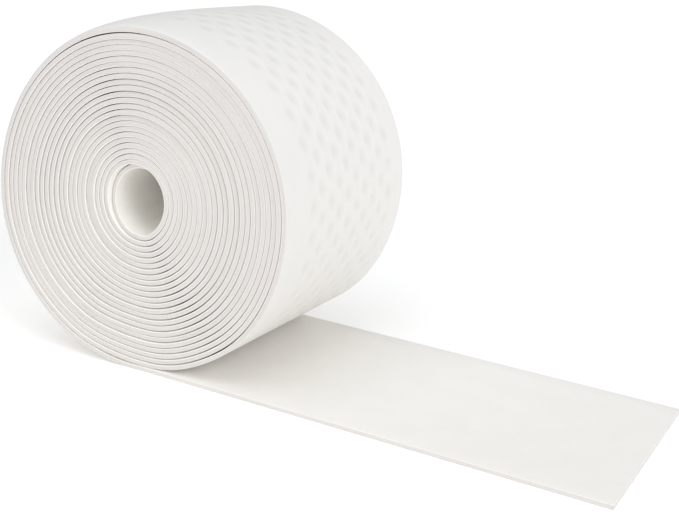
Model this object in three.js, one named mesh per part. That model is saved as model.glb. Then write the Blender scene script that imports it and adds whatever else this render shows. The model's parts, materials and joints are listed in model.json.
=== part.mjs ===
// A coreless roll of racket grip tape with its free end lying out flat beside it.
//
// The tape is a laminate of two strips: an outer grip layer of soft foamed polyurethane, and a
// thin felt backing glued inside it. Both are wound together into one flat spiral, the coil.
// The free end leaves the coil at its lowest line and runs along +X as a tail.
//
// The tape bends anywhere along its length. Here the tail is cut across into leaves, and each
// leaf hinges on the one before it along the tape's upper, inner face. With every hinge bent by
// one leaf's angle the tail closes round the coil as its next turn.
//
// Millimetres, +Z up. The origin is on the surface that the roll stands on, right below the
// coil's axis and halfway across the tape. +Y runs along the coil's axis.

import * as THREE from "three";

// Driving dimensions of the tape
const TAPE_WIDTH = 25;
const GRIP_THICKNESS = 0.4;
const BACKING_THICKNESS = 0.11;
const GLUE_LINE = 0.02;
const AIR_BETWEEN_TURNS = 0.05;

// Driving dimensions of the coil
const COIL_RADIUS = 17.8;
const BORE_RADIUS = 3.34;
const OUTER_TURN_SLACK = 0.6; // how far the loose outermost turn stands off at the top

// Driving dimensions of the tail
const TAIL_SKEW_DEGREES = 4.8; // how far the tail turns towards -Y as it runs out
const END_CUT_DEGREES = 3.7; // how far the cut across the free end is from square
const LEAF_COUNT = 5;
const FREE_END_LENGTH = 10.3; // the last leaf, from its hinge to the cut end
const LEAF_BEND_DEGREES = 30;
const FIRST_HINGE_ROOM = 1; // keeps the closed tail clear of the loose outermost turn
const LEAF_GAP = 0.3;
const FACETS_PER_LEAF = 2;

// What follows from them
const TAPE_THICKNESS = GRIP_THICKNESS + GLUE_LINE + BACKING_THICKNESS;
const TURN_PITCH = TAPE_THICKNESS + AIR_BETWEEN_TURNS;
const FACETS_PER_TURN = (FACETS_PER_LEAF * 360) / LEAF_BEND_DEGREES;
const FACET_ANGLE = (2 * Math.PI) / FACETS_PER_TURN;
const WOUND_FACETS = Math.round(
  (FACETS_PER_TURN * (COIL_RADIUS - TAPE_THICKNESS - BORE_RADIUS)) / TURN_PITCH,
);

// The closed tail wraps a circle of the coil's own radius: half a leaf and a little room lie
// before the first hinge, and one whole leaf between two hinges.
const HALF_LEAF = COIL_RADIUS * Math.tan(THREE.MathUtils.degToRad(LEAF_BEND_DEGREES / 2));
const FIRST_HINGE = HALF_LEAF + FIRST_HINGE_ROOM;
const LEAF_LENGTH = 2 * HALF_LEAF;

// The two strips, by how far each one's faces lie inside the tape's outer face
const GRIP = { outer: 0, inner: GRIP_THICKNESS };
const BACKING = { outer: GRIP_THICKNESS + GLUE_LINE, inner: TAPE_THICKNESS };

const gripMaterial = new THREE.MeshStandardMaterial({
  color: 0xf2f0ee,
  roughness: 0.55,
  metalness: 0,
});
const backingMaterial = new THREE.MeshStandardMaterial({
  color: 0xece9e4,
  roughness: 0.9,
  metalness: 0,
});

// An outline drawn in X and Z, given the tape's width along Y. What lies flat past the line
// where the tape leaves the coil drifts towards -Y by the tail's skew.
function acrossTheWidth(outline) {
  const geometry = new THREE.ExtrudeGeometry(new THREE.Shape(outline), {
    depth: TAPE_WIDTH,
    bevelEnabled: false,
  });
  geometry.rotateX(Math.PI / 2);
  geometry.translate(0, TAPE_WIDTH / 2, 0);
  const skew = Math.tan(THREE.MathUtils.degToRad(TAIL_SKEW_DEGREES));
  const highestOfTail = TAPE_THICKNESS + GLUE_LINE / 2;
  const position = geometry.getAttribute("position");
  for (let i = 0; i < position.count; i += 1) {
    const along = position.getX(i);
    const isTail = along > 0 && position.getZ(i) < highestOfTail;
    if (isTail) position.setY(i, position.getY(i) - skew * along);
  }
  return geometry;
}

// How far a corner of the outermost turn stands off the turn inside it. It is nothing at the
// bottom, where the turn starts and where it passes in over its own start, and greatest at
// the top.
function slackAt(cornerNumber) {
  const lastLoose = FACETS_PER_TURN - 1;
  if (cornerNumber > lastLoose) return 0;
  return OUTER_TURN_SLACK * Math.sin((Math.PI * cornerNumber) / lastLoose);
}

// One face of the wound tape, from the coil's lowest facet to the bore. Seen from -Y it climbs
// the left side, passes over the top and comes down on the right, drawing in all the way.
// Every turn has its corners at the same angles, so neighbouring turns stay parallel.
function woundFace(inset) {
  const corners = [];
  for (let i = 0; i <= WOUND_FACETS; i += 1) {
    const angle = FACET_ANGLE * (i + 0.5);
    const flat = COIL_RADIUS - (TURN_PITCH * i) / FACETS_PER_TURN + slackAt(i) - inset;
    const corner = flat / Math.cos(FACET_ANGLE / 2);
    corners.push(
      new THREE.Vector2(-corner * Math.sin(angle), COIL_RADIUS - corner * Math.cos(angle)),
    );
  }
  return corners;
}

// A strip of the coil: its outer face from the first hinge inwards, and its inner face back.
function coilStrip(name, strip, material) {
  const stubEnd = FIRST_HINGE - LEAF_GAP / 2;
  const outline = [
    new THREE.Vector2(stubEnd, strip.outer),
    ...woundFace(strip.outer),
    ...woundFace(strip.inner).reverse(),
    new THREE.Vector2(stubEnd, strip.inner),
  ];
  const mesh = new THREE.Mesh(acrossTheWidth(outline), material);
  mesh.name = name;
  return mesh;
}

// Where a leaf of the tail starts and ends along X: a little after its own hinge, and a little
// before the next one or at the cut end.
function leafSpan(number) {
  const hinge = FIRST_HINGE + (number - 1) * LEAF_LENGTH;
  const length = number === LEAF_COUNT ? FREE_END_LENGTH : LEAF_LENGTH - LEAF_GAP / 2;
  return { start: hinge + LEAF_GAP / 2, end: hinge + length };
}

// Slants the cut at the free end, so that its +Y corner stops short of its -Y corner.
function slantFreeEnd(geometry, end) {
  const cut = Math.tan(THREE.MathUtils.degToRad(END_CUT_DEGREES));
  const position = geometry.getAttribute("position");
  geometry.computeBoundingBox();
  const nearEdge = geometry.boundingBox.min.y;
  for (let i = 0; i < position.count; i += 1) {
    const isAtEnd = position.getX(i) > end - LEAF_GAP;
    if (isAtEnd) position.setX(i, end - cut * (position.getY(i) - nearEdge));
  }
}

// A strip of one leaf: a thin flat slab.
function leafStrip(name, number, strip, material) {
  const { start, end } = leafSpan(number);
  const geometry = acrossTheWidth([
    new THREE.Vector2(start, strip.outer),
    new THREE.Vector2(end, strip.outer),
    new THREE.Vector2(end, strip.inner),
    new THREE.Vector2(start, strip.inner),
  ]);
  if (number === LEAF_COUNT) slantFreeEnd(geometry, end);
  geometry.computeVertexNormals();
  const mesh = new THREE.Mesh(geometry, material);
  mesh.name = name;
  return mesh;
}

const roll = new THREE.Group();

const coil = new THREE.Group();
coil.add(coilStrip("coil_grip_layer", GRIP, gripMaterial));
coil.add(coilStrip("coil_backing", BACKING, backingMaterial));
roll.add(coil);

const tail = new THREE.Group();
for (let number = 1; number <= LEAF_COUNT; number += 1) {
  tail.add(leafStrip(`tail_${number}_grip_layer`, number, GRIP, gripMaterial));
  tail.add(leafStrip(`tail_${number}_backing`, number, BACKING, backingMaterial));
}
roll.add(tail);

export default roll;
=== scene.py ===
# %% [markdown]
# # A roll of racket grip tape, its free end lying out flat
#
# Grip tape is one long, thin strip that is wound up on itself with no core. It is a laminate:
# a soft foamed polyurethane grip layer with shallow dimples on the outside of the roll, and a
# thin felt backing glued to its inner face. Everything here is that one strip, so every piece
# is made the way the real one is: laid out flat, cut to size, and then wound.

# %% Loading the fixed frame
import json
import math

import bmesh
import bpy
import numpy as np
from mathutils import Matrix, Vector


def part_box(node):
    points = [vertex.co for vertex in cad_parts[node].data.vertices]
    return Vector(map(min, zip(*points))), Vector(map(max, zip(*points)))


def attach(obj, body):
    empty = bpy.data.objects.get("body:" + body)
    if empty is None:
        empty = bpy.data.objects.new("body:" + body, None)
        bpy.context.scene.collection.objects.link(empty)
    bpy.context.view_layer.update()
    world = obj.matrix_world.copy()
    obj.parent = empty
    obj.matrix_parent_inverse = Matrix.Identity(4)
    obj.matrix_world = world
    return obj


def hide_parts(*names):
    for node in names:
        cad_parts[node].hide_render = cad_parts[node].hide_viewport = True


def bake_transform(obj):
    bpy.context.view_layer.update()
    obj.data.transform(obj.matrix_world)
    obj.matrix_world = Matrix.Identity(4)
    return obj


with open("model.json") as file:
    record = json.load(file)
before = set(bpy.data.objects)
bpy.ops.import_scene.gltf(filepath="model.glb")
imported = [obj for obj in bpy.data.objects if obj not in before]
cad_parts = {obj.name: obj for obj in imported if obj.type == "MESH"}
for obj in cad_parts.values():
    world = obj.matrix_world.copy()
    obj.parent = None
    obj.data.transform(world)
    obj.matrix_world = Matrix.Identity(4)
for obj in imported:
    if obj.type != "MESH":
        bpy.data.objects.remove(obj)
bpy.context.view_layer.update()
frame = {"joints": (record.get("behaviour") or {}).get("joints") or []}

# %% [markdown]
# ## The tape's measures
#
# Sizes are worked out from the frame: the tape's thickness and its slant from the boxes of its
# flat leaves, its width from the coil's box, and the coil's radius from the hinges. Two hinges
# stand one leaf apart, and a leaf is the side of a polygon that just wraps the coil.

# %% Sizes read from the frame
MM = 0.001

hinges = [joint["pos_m"][0] for joint in frame["joints"]]
half_bend = math.radians(frame["joints"][0]["range_deg"][1]) / 2
leaf_length = hinges[1] - hinges[0]
coil_radius = leaf_length / 2 / math.tan(half_bend)

near_edge = [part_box(f"tail_{number}_grip_layer")[0].y for number in (1, 2)]
tape_drift = (near_edge[0] - near_edge[1]) / leaf_length
tape_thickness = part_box("tail_1_backing")[1].z
tape_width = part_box("coil_backing")[1].y * 2
tail_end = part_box("tail_5_grip_layer")[1].x

print(f"coil radius {coil_radius / MM:.2f} mm")
print(f"tape {tape_width / MM:.2f} mm wide and {tape_thickness / MM:.2f} mm thick")
print(f"tail end at {tail_end / MM:.2f} mm, drift {math.degrees(math.atan(tape_drift)):.2f} degrees")

# %% [markdown]
# ## The shape of the winding
#
# A wound strip is an Archimedean spiral: each turn lies one pitch inside the last. A hand-wound
# roll isn't perfect, and the eye knows it. This one is a little out of round, its outer turns
# are looser than the rest, its top bellies out between the edges, the gaps between its turns
# vary, and its edges don't quite line up. All of that is a formula of the angle wound, counted
# from the coil's lowest line, so that each piece follows it and neighbouring turns never meet.
# A place on the roll is given in degrees from its lowest line, up its right side.

# %% Driving values of the winding
TURN_PITCH = 0.58 * MM
TURNS = 24.72                     # the inner end lies on the far side of the bore
LAID_THICKNESS = 0.50 * MM        # the squeezed tape, a little thinner than when it is cut
LOOSE_TURNS = 6                   # the outer turns that are wound more loosely
TIGHT_FROM = 16                   # the turn by which the winding is tight
FULL_TURN = 2 * math.pi

# What makes the roll out of round: (size, lobes, where the first lobe peaks, in degrees)
LOBES = ((0.40 * MM, 1, 120), (0.18 * MM, 2, 30), (0.07 * MM, 3, 37.7), (0.09 * MM, 4, 22.8))
# Where the tail draws the turns tight again, as it leaves: (share, place, half width in degrees)
SQUEEZED = (0.42, 27, 17)
# How the core is pushed up and drawn out taller, as the turns were laid round it
CORE_LOBES = ((0.55 * MM, 1, 190), (0.16 * MM, 2, 0))
PRESSED_FLAT = 20                 # degrees over which the start takes on that shape
# How the outer turns stand off: a steady share, and two lobes that peak on this side
LOOSE_SHARE = 0.42 * MM
LOOSE_LOBES = 0.20 * MM
LOOSE_PEAK = 130
LOOSE_FROM = 30                   # degrees from the bottom, over which the turns come loose
# Where the outermost turn has sprung away from the next: (size, place, half width in degrees)
SPRUNG = ((0.05 * MM, 187, 25), (0.03 * MM, 40, 12))
SPRUNG_SHARE = 0.04 * MM
# How the gaps vary, and how far the edges stray: (size, waves per radian, start)
GAP_WAVES = ((0.008 * MM, 0.47, 1.0), (0.005 * MM, 1.7, 2.2))
EDGE_WAVES = ((0.050 * MM, 0.53, 0.4), (0.030 * MM, 0.31, 2.0), (0.015 * MM, 1.9, 0.9))
CORE_RECESS = 1.10 * MM           # how far the innermost turn sits back from the face
CORE_RECESS_TURNS = 1.05
BULGE = 0.75 * MM                 # the belly of the outermost turn, at the top of the roll
BULGE_FROM = 115                  # the place where the belly starts, and degrees to its full size
BULGE_RISE = 70
BULGE_TO = 330                    # the place where it has gone, and degrees from its full size
BULGE_FALL = 90
BULGE_LEAN = 0.6                  # below 1, the belly lies nearer the front edge


def eased(x):
    """0 before 0, 1 after 1, and a smooth step between."""
    t = np.clip(x, 0, 1)
    return t * t * (3 - 2 * t)


def place_round(angle):
    """The place on the roll, in degrees, where an angle wound ends up."""
    return np.degrees((FULL_TURN - angle) % FULL_TURN)


def outer_share(angle):
    """1 on the outermost turn, falling evenly to 0 at the tape's inner end."""
    return 1 - angle / FULL_TURN / TURNS


def lobe(turned, size, count, peak):
    return size * np.cos(count * (turned - math.radians(peak)))


def out_of_round(angle):
    """How far the roll stands off a circle: the outer turns by one set of lobes, the core by another."""
    turned = FULL_TURN - angle
    shift, *lobes = (lobe(turned, *row) - lobe(0, *row) * np.cos(turned) for row in LOBES)
    core = sum(lobe(turned, *row) for row in CORE_LOBES)
    return shift + outer_share(angle) * sum(lobes) + (1 - outer_share(angle)) * core


def near_place(angle, middle, half):
    """1 at a place on the roll, falling off smoothly on both sides."""
    return np.exp(-((place_round(angle) - middle) / half) ** 2)


def waves(angle, table):
    return sum(size * np.sin(rate * angle + start) for size, rate, start in table)


def looseness(angle):
    """How far a turn stands off because it is wound loosely or has sprung away."""
    turn = angle / FULL_TURN
    place = place_round(angle)
    share = 1 - eased((turn - LOOSE_TURNS) / (TIGHT_FROM - LOOSE_TURNS))
    loose = LOOSE_SHARE + LOOSE_LOBES * np.cos(2 * np.radians(place - LOOSE_PEAK))
    sprung = SPRUNG_SHARE + sum(size * near_place(angle, *where) for size, *where in SPRUNG)
    off_bottom = eased(np.minimum(place, 360 - place) / LOOSE_FROM)
    return off_bottom * (share * loose + np.where(turn < 1, sprung, 0))


def bulge(angle, across):
    """How far the roll bellies out: the tape is a little thicker inside its margins."""
    place = place_round(angle)
    on_top = eased((place - BULGE_FROM) / BULGE_RISE) * eased((BULGE_TO - place) / BULGE_FALL)
    from_front = np.clip(across / tape_width + 0.5, 0, 1)
    profile = np.sin(math.pi * from_front ** BULGE_LEAN)
    return BULGE * outer_share(angle) * on_top * profile


def wound_radius(angle):
    """The radius of the tape's outer face after that much winding."""
    spiral = coil_radius - TURN_PITCH * angle / FULL_TURN
    settled = eased(angle / math.radians(PRESSED_FLAT))
    share, middle, half = SQUEEZED
    kept = 1 - share * near_place(angle, middle, half)
    loose = looseness(angle) + settled * (out_of_round(angle) + waves(angle, GAP_WAVES))
    return spiral + kept * loose


LENGTH_STEPS = 60000
angle_steps = np.linspace(0, TURNS * FULL_TURN, LENGTH_STEPS + 1)
radius_steps = wound_radius(angle_steps)
arcs = (radius_steps[1:] + radius_steps[:-1]) / 2 * np.diff(angle_steps)
arc_steps = np.concatenate([[0], np.cumsum(arcs)])
wound_length = arc_steps[-1]
outer_turn_length = float(np.interp(FULL_TURN, angle_steps, arc_steps))
print(f"{wound_length / MM:.0f} mm of tape is wound, the outer turn {outer_turn_length / MM:.1f} mm")

# %% [markdown]
# ## Winding a flat piece
#
# Each piece is modelled flat on a bench, where X is the distance along the tape, Y is across it
# and Z is the depth from its outer face. What lies past zero stays flat, as the tail. What lies
# before zero is wound into the coil. The flat place of every point is kept in an attribute, so
# that grain and fibres follow the tape round the roll and don't cut through it.

# %% Turning flat places into wound ones
DRIFT_EASE = 3 * MM               # half the length over which the tape turns aside


def flat_places(mesh):
    """The places of a mesh's points, a row each."""
    flat = np.zeros(len(mesh.vertices) * 3)
    mesh.vertices.foreach_get("co", flat)
    return flat.reshape(-1, 3)


def sideways(along):
    """How far the tape has drifted across, as it leaves the roll at a slant."""
    turning = (along + DRIFT_EASE) ** 2 / (4 * DRIFT_EASE)
    run = np.where(along > DRIFT_EASE, along, np.where(along > -DRIFT_EASE, turning, 0))
    return tape_drift * run


def wind(piece):
    """Moves every point of a flat piece to its place on the roll."""
    mesh = piece.data
    flat = flat_places(mesh)
    along, across, depth = flat.T
    kept = mesh.attributes.new("flat_place", "FLOAT_VECTOR", "POINT")
    kept.data.foreach_set("vector", flat.astype(np.float32).ravel())

    angle = np.interp(-along, arc_steps, angle_steps)
    radius = wound_radius(angle) + bulge(angle, across) - depth
    is_wound = along < 0
    x = np.where(is_wound, -radius * np.sin(angle), along)
    z = np.where(is_wound, coil_radius - radius * np.cos(angle), depth)
    turns_left = TURNS - angle / FULL_TURN
    recess = CORE_RECESS * eased(1 - turns_left / CORE_RECESS_TURNS)
    stray = eased(angle / FULL_TURN) * waves(angle, EDGE_WAVES)
    y = across - sideways(along) + np.where(is_wound, stray + recess, 0)
    mesh.vertices.foreach_set("co", np.stack([x, y, z], 1).astype(np.float32).ravel())
    mesh.update()
    return piece


# %% [markdown]
# ## Cutting a strip
#
# A strip starts as a grid laid on the bench, one cell deep, and is extruded to its thickness.
# Slitting knives leave the grip layer's outer edges slightly rounded, and so do the felt's inner
# edges, so one pair of long edges is bevelled and the glued pair stays square. The cut ends stay
# square too, so that two neighbouring pieces of the tape meet without a seam.

# %% Bench tools
FELT_THICKNESS = 0.10 * MM
GLUE_LINE = 0.006 * MM
INNER_STEP = 0.6 * MM             # along the tape, where only its edges show
FINE_STEP = 0.27 * MM             # where its dimples show
FINE_COLUMNS = 100
GRIP_INNER = LAID_THICKNESS - FELT_THICKNESS
GRIP_ROUND = 0.06 * MM
FELT_ROUND = 0.03 * MM
ROUND_SEGMENTS = 3
NEAR = 0.001 * MM                 # two places this close are the same


def only(piece):
    """Deselects everything and makes one piece the active one."""
    bpy.ops.object.select_all(action="DESELECT")
    piece.select_set(True)
    bpy.context.view_layer.objects.active = piece


def choose_edges(piece, is_wanted):
    """In edit mode, selects just the edges whose two ends pass a test."""
    bpy.ops.mesh.select_mode(type="EDGE")
    bpy.ops.mesh.select_all(action="DESELECT")
    mesh = bmesh.from_edit_mesh(piece.data)
    for edge in mesh.edges:
        edge.select = all(is_wanted(vert.co) for vert in edge.verts)
    bmesh.update_edit_mesh(piece.data)
    return sum(edge.select for edge in mesh.edges)


def cut_strip(name, start, end, outer, inner, step, columns, rounded, round_to):
    """A flat strip of tape from start to end, between two depths, its edges at one depth rounded."""
    rows = max(1, round((end - start) / step))
    bpy.ops.object.select_all(action="DESELECT")
    bpy.ops.mesh.primitive_grid_add(x_subdivisions=rows, y_subdivisions=columns, size=1)
    piece = bpy.context.active_object
    piece.name = name
    piece.data.name = name
    bpy.ops.object.mode_set(mode="EDIT")
    bpy.ops.mesh.select_all(action="SELECT")
    bpy.ops.transform.resize(value=(end - start, tape_width, 1))
    bpy.ops.transform.translate(value=((start + end) / 2, 0, outer))
    bpy.ops.mesh.extrude_region_move(TRANSFORM_OT_translate={"value": (0, 0, inner - outer)})
    half = tape_width / 2
    chosen = choose_edges(
        piece, lambda co: abs(abs(co.y) - half) < NEAR and abs(co.z - rounded) < NEAR)
    bpy.ops.mesh.bevel(offset=round_to, segments=ROUND_SEGMENTS, affect="EDGES")
    print(f"{name}: {rows} steps along, {chosen} edges rounded")
    bpy.ops.mesh.select_all(action="SELECT")
    bpy.ops.mesh.normals_make_consistent(inside=False)
    bpy.ops.object.mode_set(mode="OBJECT")
    return piece


def cut_grip(name, start, end, step, columns):
    return cut_strip(name, start, end, 0, GRIP_INNER, step, columns, 0, GRIP_ROUND)


def cut_felt(name, start, end, columns):
    outer = GRIP_INNER + GLUE_LINE
    return cut_strip(
        name, start, end, outer, LAID_THICKNESS, INNER_STEP, columns, LAID_THICKNESS, FELT_ROUND)


# %% [markdown]
# ## The dimples
#
# The grip layer is embossed by a hot roller: staggered rows of shallow round dimples, with a
# smooth margin along both edges. They are pressed into the mesh itself, because they show as
# scallops where the roll turns away. A dimple is far too shallow to be drawn by hand edits
# one at a time, so a formula lowers the points of a finely divided outer face.

# %% Pressing the dimples
DIMPLE_COLUMNS = 10
COLUMN_SPACING = 1.8 * MM
ROW_SPACING = 1.6 * MM
FIRST_COLUMN = -6.8 * MM          # across the tape, from its middle
DIMPLE_RADIUS = 1.25 * MM
DIMPLE_DEPTH = 0.10 * MM
END_MARGIN = 0.75 * MM            # the free end is cut clear of the dimples
END_FADE = 1.5 * MM


def press_dimples(piece):
    """Lowers the outer face where a dimple is, and notes how deep each point was pressed."""
    mesh = piece.data
    flat = flat_places(mesh)
    along, across, depth = flat.T
    column = np.clip(np.round((across - FIRST_COLUMN) / COLUMN_SPACING), 0, DIMPLE_COLUMNS - 1)
    stagger = np.where(column % 2 == 1, ROW_SPACING, 0)
    row = np.round((along - stagger) / (2 * ROW_SPACING))
    from_column = across - (FIRST_COLUMN + column * COLUMN_SPACING)
    from_row = along - (row * 2 * ROW_SPACING + stagger)
    pressed = eased(1 - np.hypot(from_column, from_row) / DIMPLE_RADIUS)
    pressed *= eased((tail_end - END_MARGIN - along) / END_FADE)
    pressed = np.where(np.abs(depth) < NEAR, pressed, 0)
    flat[:, 2] += DIMPLE_DEPTH * pressed
    mesh.vertices.foreach_set("co", flat.ravel())
    mark = mesh.attributes.new("pressed", "FLOAT", "POINT")
    mark.data.foreach_set("value", pressed.astype(np.float32))
    print(f"{piece.name}: {int((pressed > 0).sum())} points pressed")


# %% [markdown]
# ## Writing materials as sums
#
# A material is a chain of nodes, but what it says is arithmetic: this much grain, plus that
# much mottling, times a mask. A small class lets it be written that way. Each sum or product
# of two values adds its Math node.

# %% A value that can be added and multiplied
class Value:
    def __init__(self, bench, socket):
        self.bench = bench
        self.socket = socket

    def combined(self, operation, first, second):
        return self.bench.add("ShaderNodeMath", {"operation": operation}, [first, second])

    def __add__(self, other):
        return self.combined("ADD", self, other)

    def __sub__(self, other):
        return self.combined("SUBTRACT", self, other)

    def __mul__(self, other):
        return self.combined("MULTIPLY", self, other)

    __radd__ = __add__

    def clipped(self, low, high):
        """0 where this is at low or past it, 1 at high, and a smooth step between."""
        settings = {"interpolation_type": "SMOOTHSTEP"}
        sockets = {"Value": self, "From Min": low, "From Max": high}
        return self.bench.add("ShaderNodeMapRange", settings, sockets)


# A Mix node has a set of sockets for each kind of value, and these are the ones for colours
MIX_FACTOR = 0
MIX_FIRST = 6
MIX_SECOND = 7
MIX_RESULT = 2


class Bench:
    """The node tree of one material, and the one way in which nodes are added to it."""

    def __init__(self, name):
        self.material = bpy.data.materials.new(name)
        self.material.use_nodes = True
        self.tree = self.material.node_tree
        self.shader = self.tree.nodes["Principled BSDF"]

    def add(self, kind, settings=None, inputs=(), output=0):
        node = self.tree.nodes.new(kind)
        for name, value in (settings or {}).items():
            setattr(node, name, value)
        self.fill(node, inputs)
        return Value(self, node.outputs[output])

    def fill(self, node, inputs):
        """Sets or links a node's sockets, by number or by name."""
        pairs = inputs.items() if isinstance(inputs, dict) else enumerate(inputs)
        for key, value in pairs:
            if isinstance(value, Value):
                self.tree.links.new(value.socket, node.inputs[key])
            else:
                node.inputs[key].default_value = value

    def mix(self, factor, low, high):
        """The colour that is low where factor is 0 and high where it is 1."""
        sockets = {MIX_FACTOR: factor, MIX_FIRST: low, MIX_SECOND: high}
        return self.add("ShaderNodeMix", {"data_type": "RGBA"}, sockets, MIX_RESULT)

    def place(self, per_mm=(1, 1, 1)):
        """The flat place on the tape, in millimetres, stretched by axis."""
        flat = self.add("ShaderNodeAttribute", {"attribute_name": "flat_place"}, (), "Vector")
        scale = tuple(times / MM for times in per_mm)
        return self.add("ShaderNodeVectorMath", {"operation": "MULTIPLY"}, [flat, scale])

    def noise(self, vector, scale, detail=3.0, roughness=0.5):
        sockets = {"Vector": vector, "Scale": scale, "Detail": detail, "Roughness": roughness}
        return self.add("ShaderNodeTexNoise", {}, sockets)

    def bump(self, height, distance, strength=1.0, under=None):
        sockets = {"Height": height, "Distance": distance, "Strength": strength}
        if under is not None:
            sockets["Normal"] = under
        return self.add("ShaderNodeBump", {}, sockets)


# %% [markdown]
# ## The grip layer's finish
#
# Foamed polyurethane has a soft, dry, slightly leathery skin: tiny pores, a faint mottling from
# the foam beneath, and rougher edges where the knife has opened the foam. Those cut edges are
# painted darker and faintly streaked along the tape: the roll's face in full, the tail's own
# edges in part.
# The dimples are painted a shade darker: painted shade in their hollows. The white
# is warm, since light that bounces between the turns comes out cream.

# %% Grip material
GRIP_WHITE = (0.865, 0.844, 0.811, 1)
# the darker tone for the mottling and speckle, and for the painted shade in the dimples
GRIP_MOTTLE_AND_DIMPLE_SHADE = (0.800, 0.776, 0.741, 1)
# the darker colour painted on the cut edges, and the darker streaks in it
GRIP_CUT = (0.780, 0.735, 0.706, 1)
CUT_SHADE = (0.725, 0.678, 0.648, 1)
TAIL_CUT_SHARE = 0.6                   # how much of that shade the tail's own edges show
CUT_REACH = 0.10                  # how far in from an edge it shows, in millimetres
END_CUT_DEGREES = 3.7             # how far the cut across the free end is from square
END_SLANT = math.tan(math.radians(END_CUT_DEGREES))


def grip_finish():
    bench = Bench("foamed_polyurethane")
    place = bench.place()
    split = bench.tree.nodes.new("ShaderNodeSeparateXYZ")
    bench.tree.links.new(place.socket, split.inputs[0])
    along = Value(bench, split.outputs[0])
    across = Value(bench, split.outputs[1])
    pressed = bench.add("ShaderNodeAttribute", {"attribute_name": "pressed"}, (), "Fac")

    mottling = bench.noise(place, 0.35, 4.0, 0.6).clipped(0.3, 0.7)
    speckle = bench.noise(place, 3.0, 2.0).clipped(0.35, 0.75)
    from_middle = bench.add("ShaderNodeMath", {"operation": "ABSOLUTE"}, [across])
    half = tape_width / 2 / MM
    slit_edge = from_middle.clipped(half - CUT_REACH, half - 0.02)
    end = tail_end / MM
    cut_end = (along + (across + half) * END_SLANT).clipped(end - CUT_REACH, end - 0.03)
    on_roll = along.clipped(6, -4)
    # the roll's cut edges take the darker colour in full, the tail's own edges and its cut end in part
    cut_edge = slit_edge * (on_roll * (1 - TAIL_CUT_SHARE) + TAIL_CUT_SHARE) + cut_end * TAIL_CUT_SHARE

    # the dimples' part of this darkening is painted shade in their hollows
    shade = mottling * 0.15 + speckle * 0.1 + pressed * 0.70
    skin = bench.mix(shade, GRIP_WHITE, GRIP_MOTTLE_AND_DIMPLE_SHADE)
    streaks = bench.noise(bench.place((0.15, 1, 14)), 1.0, 3.0)
    cut = bench.mix(streaks.clipped(0.3, 0.75), GRIP_CUT, CUT_SHADE)
    colour = bench.mix(cut_edge, skin, cut)

    pores = bench.add(
        "ShaderNodeTexVoronoi", {"feature": "SMOOTH_F1"},
        {"Vector": place, "Scale": 5.0, "Smoothness": 0.6})
    grain = bench.bump(pores * 0.6 + bench.noise(place, 9.0, 3.0) * 0.4, 0.006 * MM, 0.5)
    wave = bench.bump(bench.noise(place, 0.5, 2.0), 0.05 * MM, 0.4, grain)

    roughness = 0.50 + speckle * 0.10 - pressed * 0.06 + slit_edge * 0.25
    bench.fill(bench.shader, {"Base Color": colour, "Roughness": roughness, "Normal": wave})
    bench.fill(bench.shader, {"Specular IOR Level": 0.18, "Sheen Weight": 0.10, "Sheen Roughness": 0.5})
    return bench.material


grip_material = grip_finish()
print("finish:", grip_material.name, len(grip_material.node_tree.nodes), "nodes")

# %% [markdown]
# ## The backing's finish
#
# The backing is a non-woven felt about a tenth of a millimetre thick. Its fibres lie every way,
# mostly along the tape, and are pressed flat. Two noises stretched in crossing directions give
# the fibres, and a broad one gives the cloudiness that thin felt has against the light.

# %% Backing material
FELT_WHITE = (0.950, 0.921, 0.872, 1)
FELT_SHADE = (0.915, 0.882, 0.826, 1)


def felt_finish():
    bench = Bench("felt_backing")
    place = bench.place()
    clouds = bench.noise(place, 0.25, 3.0, 0.55).clipped(0.3, 0.7)
    lengthwise = bench.noise(bench.place((1.2, 9, 9)), 1.0, 4.0, 0.65)
    crosswise = bench.noise(bench.place((7, 1.6, 7)), 1.0, 4.0, 0.65)
    fibres = lengthwise * 0.6 + crosswise * 0.4
    shade = clouds * 0.45 + fibres.clipped(0.38, 0.66) * 0.45
    colour = bench.mix(shade, FELT_WHITE, FELT_SHADE)
    fuzz = bench.bump(fibres, 0.02 * MM, 0.6)
    roughness = 0.82 + clouds * 0.1
    bench.fill(bench.shader, {"Base Color": colour, "Roughness": roughness, "Normal": fuzz})
    bench.fill(bench.shader, {"Specular IOR Level": 0.2, "Sheen Weight": 0.25, "Sheen Roughness": 0.6})
    return bench.material


felt_material = felt_finish()
print("finish:", felt_material.name, len(felt_material.node_tree.nodes), "nodes")

# %% [markdown]
# ## Finishing a piece
#
# Every piece ends the same way: it is wound, shaded smooth except at its edges and given its
# finish, and the parts of the frame that it stands for, if any, are hidden. A piece that moves
# with one body is tied to it. A piece of the tail, which runs from the middle of one leaf to the
# middle of the next across a hinge, is baked where it was wound.

# %% One way to finish every piece
SMOOTH_BELOW = math.radians(40)


def finish_piece(piece, material, nodes, length, bodies):
    wind(piece)
    only(piece)
    bpy.ops.object.shade_smooth_by_angle(angle=SMOOTH_BELOW, keep_sharp_edges=False)
    piece.data.materials.clear()
    piece.data.materials.append(material)
    if len(bodies) == 1:
        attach(piece, bodies[0])
    else:
        hinge = hinges[int(bodies[1][-1]) - 1]
        start = (hinge - leaf_length / 2, 0, tape_thickness)
        end = (hinge + leaf_length / 2, 0, tape_thickness)
        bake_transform(piece)
    if nodes:
        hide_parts(*nodes)
    print(f"{piece.name}: {len(piece.data.polygons)} faces, rides on {bodies}")
    return piece


# %% [markdown]
# ## The coil
#
# The inner turns show only their edges and, in the bore, the felt. So they are cut in long
# steps and left plain. The outermost turn shows its whole face, so its grip layer is finely
# divided and dimpled.

# %% The wound turns
PLAIN_COLUMNS = 2
TAIL_START = hinges[0] - leaf_length / 2

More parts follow.
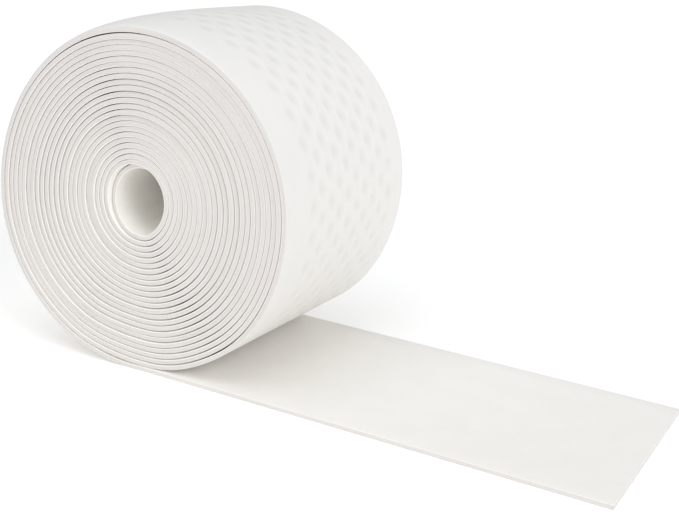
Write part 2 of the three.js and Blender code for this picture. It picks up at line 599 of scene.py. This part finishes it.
grip_inner = cut_grip(
    "grip_inner_turns", -wound_length, -outer_turn_length, INNER_STEP, PLAIN_COLUMNS)
finish_piece(
    grip_inner, grip_material, [], wound_length - outer_turn_length, ["coil"])

grip_outer = cut_grip("grip_outer_turn", -outer_turn_length, TAIL_START, FINE_STEP, FINE_COLUMNS)
press_dimples(grip_outer)
finish_piece(
    grip_outer, grip_material, ["coil_grip_layer"],
    outer_turn_length + TAIL_START, ["coil"])

felt_wound = cut_felt("felt_wound_turns", -wound_length, TAIL_START, PLAIN_COLUMNS)
finish_piece(
    felt_wound, felt_material, ["coil_backing"], wound_length + TAIL_START,
    ["coil"])

# %% [markdown]
# ## The tail
#
# The free end is the same tape lying flat with its felt side up. It is cut across in the middle
# of each leaf, where a bent tail is straight, so that the cuts never show. The last cut is the
# one that the shop made, a few degrees off square.

# %% The tail's leaves
FELT_COLUMNS = 12


def slant_end(piece, start, end):
    """Draws the far edge of the free end back, its near corner staying at the full length."""
    for vert in piece.data.vertices:
        share = (vert.co.x - start) / (end - start)
        vert.co.x -= share * END_SLANT * (vert.co.y + tape_width / 2)


for number, hinge in enumerate(hinges, start=1):
    start = hinge - leaf_length / 2
    is_last = number == len(hinges)
    end = tail_end if is_last else hinge + leaf_length / 2
    before = "coil" if number == 1 else f"tail_{number - 1}"
    bodies = [before, f"tail_{number}"]

    grip_leaf = cut_grip(f"tail_{number}_grip", start, end, FINE_STEP, FINE_COLUMNS)
    press_dimples(grip_leaf)
    felt_leaf = cut_felt(f"tail_{number}_felt", start, end, FELT_COLUMNS)
    if is_last:
        slant_end(grip_leaf, start, end)
        slant_end(felt_leaf, start, end)
    grip_node = [f"tail_{number}_grip_layer"]
    felt_node = [f"tail_{number}_backing"]
    finish_piece(grip_leaf, grip_material, grip_node, end - start, bodies)
    finish_piece(felt_leaf, felt_material, felt_node, end - start, bodies)

# %% [markdown]
# ## The camera
#
# A long lens from a little above and to the right keeps the roll's face nearly round and lets
# the tail run out towards the lower right.

# %% Camera
CAMERA_AZIMUTH = math.radians(28.39)
CAMERA_ELEVATION = math.radians(16.34)
CAMERA_ROLL = math.radians(2.09)
CAMERA_DISTANCE = 8.6264 * coil_radius
CAMERA_TARGET = Vector((1.0230, -0.0994, 0.7292)) * coil_radius

camera_data = bpy.data.cameras.new("camera")
camera_data.lens = 78.5
camera_data.sensor_width = 36
camera_data.clip_start = 0.01
camera = bpy.data.objects.new("camera", camera_data)
bpy.context.scene.collection.objects.link(camera)

back = Vector((
    math.sin(CAMERA_AZIMUTH) * math.cos(CAMERA_ELEVATION),
    -math.cos(CAMERA_AZIMUTH) * math.cos(CAMERA_ELEVATION),
    math.sin(CAMERA_ELEVATION)))
level = Vector((math.cos(CAMERA_AZIMUTH), math.sin(CAMERA_AZIMUTH), 0))
upright = back.cross(level)
right = level * math.cos(CAMERA_ROLL) + upright * math.sin(CAMERA_ROLL)
up = upright * math.cos(CAMERA_ROLL) - level * math.sin(CAMERA_ROLL)
turned = Matrix((right, up, back)).transposed()
camera.matrix_world = Matrix.Translation(CAMERA_TARGET + back * CAMERA_DISTANCE) @ turned.to_4x4()
bpy.context.scene.camera = camera
print("camera at", [round(x / MM, 1) for x in camera.location])

# %% [markdown]
# ## Floor and light
#
# White goods are shown on white: a pale floor that glows a little, light from all round, and
# three soft suns. The one overhead lights the tail and the top of the roll. The low one from the
# right reaches into the bore and under the roll. The weak one in front keeps the grooves between
# the turns from closing up. All are a touch cool, which brings the warm white of the tape back
# to neutral and leaves its shaded folds cream.

# %% Floor
FLOOR_SIZE = 6
FLOOR_DROP = 0.01 * MM            # keeps the floor just clear of what rests on it
FLOOR_GLOW = 0.17

bpy.ops.object.select_all(action="DESELECT")
bpy.ops.mesh.primitive_plane_add(size=FLOOR_SIZE, location=(0, 0, -FLOOR_DROP))
floor = bpy.context.active_object
floor.name = "floor"
floor_bench = Bench("pale_floor")
floor_bench.fill(floor_bench.shader, {
    "Base Color": (0.97, 0.96, 0.94, 1), "Roughness": 0.9, "Specular IOR Level": 0.1,
    "Emission Color": (1, 1, 1, 1), "Emission Strength": FLOOR_GLOW})
floor.data.materials.append(floor_bench.material)
print("floor:", FLOOR_SIZE, "m across")

# %% Light
COOL_WHITE = (0.955, 0.975, 1.0, 1)
LIGHT_ALL_ROUND = 0.45
# The suns: (name, azimuth from the front, elevation, angular size, strength), in degrees
SUNS = (
    ("overhead", -20, 75, 60, 0.34),
    ("from_the_right", 66, 25, 30, 0.32),
    ("from_the_front", 15, 20, 40, 0.10))

world = bpy.data.worlds.new("studio")
bpy.context.scene.world = world
world.use_nodes = True
background = world.node_tree.nodes["Background"]
background.inputs["Color"].default_value = COOL_WHITE
background.inputs["Strength"].default_value = LIGHT_ALL_ROUND


def soft_sun(name, azimuth, elevation, spread, strength):
    """A far, broad light. A white face turned to it is as bright as its strength."""
    data = bpy.data.lights.new(name, "SUN")
    data.angle = math.radians(spread)
    data.energy = strength * math.pi
    data.color = COOL_WHITE[:3]
    lamp = bpy.data.objects.new(name, data)
    bpy.context.scene.collection.objects.link(lamp)
    turn, rise = math.radians(azimuth), math.radians(elevation)
    away = Vector((math.sin(turn) * math.cos(rise), -math.cos(turn) * math.cos(rise), math.sin(rise)))
    lamp.rotation_euler = (-away).to_track_quat("-Z", "Y").to_euler()
    return lamp


for sun in SUNS:
    print("sun:", soft_sun(*sun).name)
bpy.context.scene.view_settings.view_transform = "Standard"
bpy.context.scene.view_settings.look = "None"
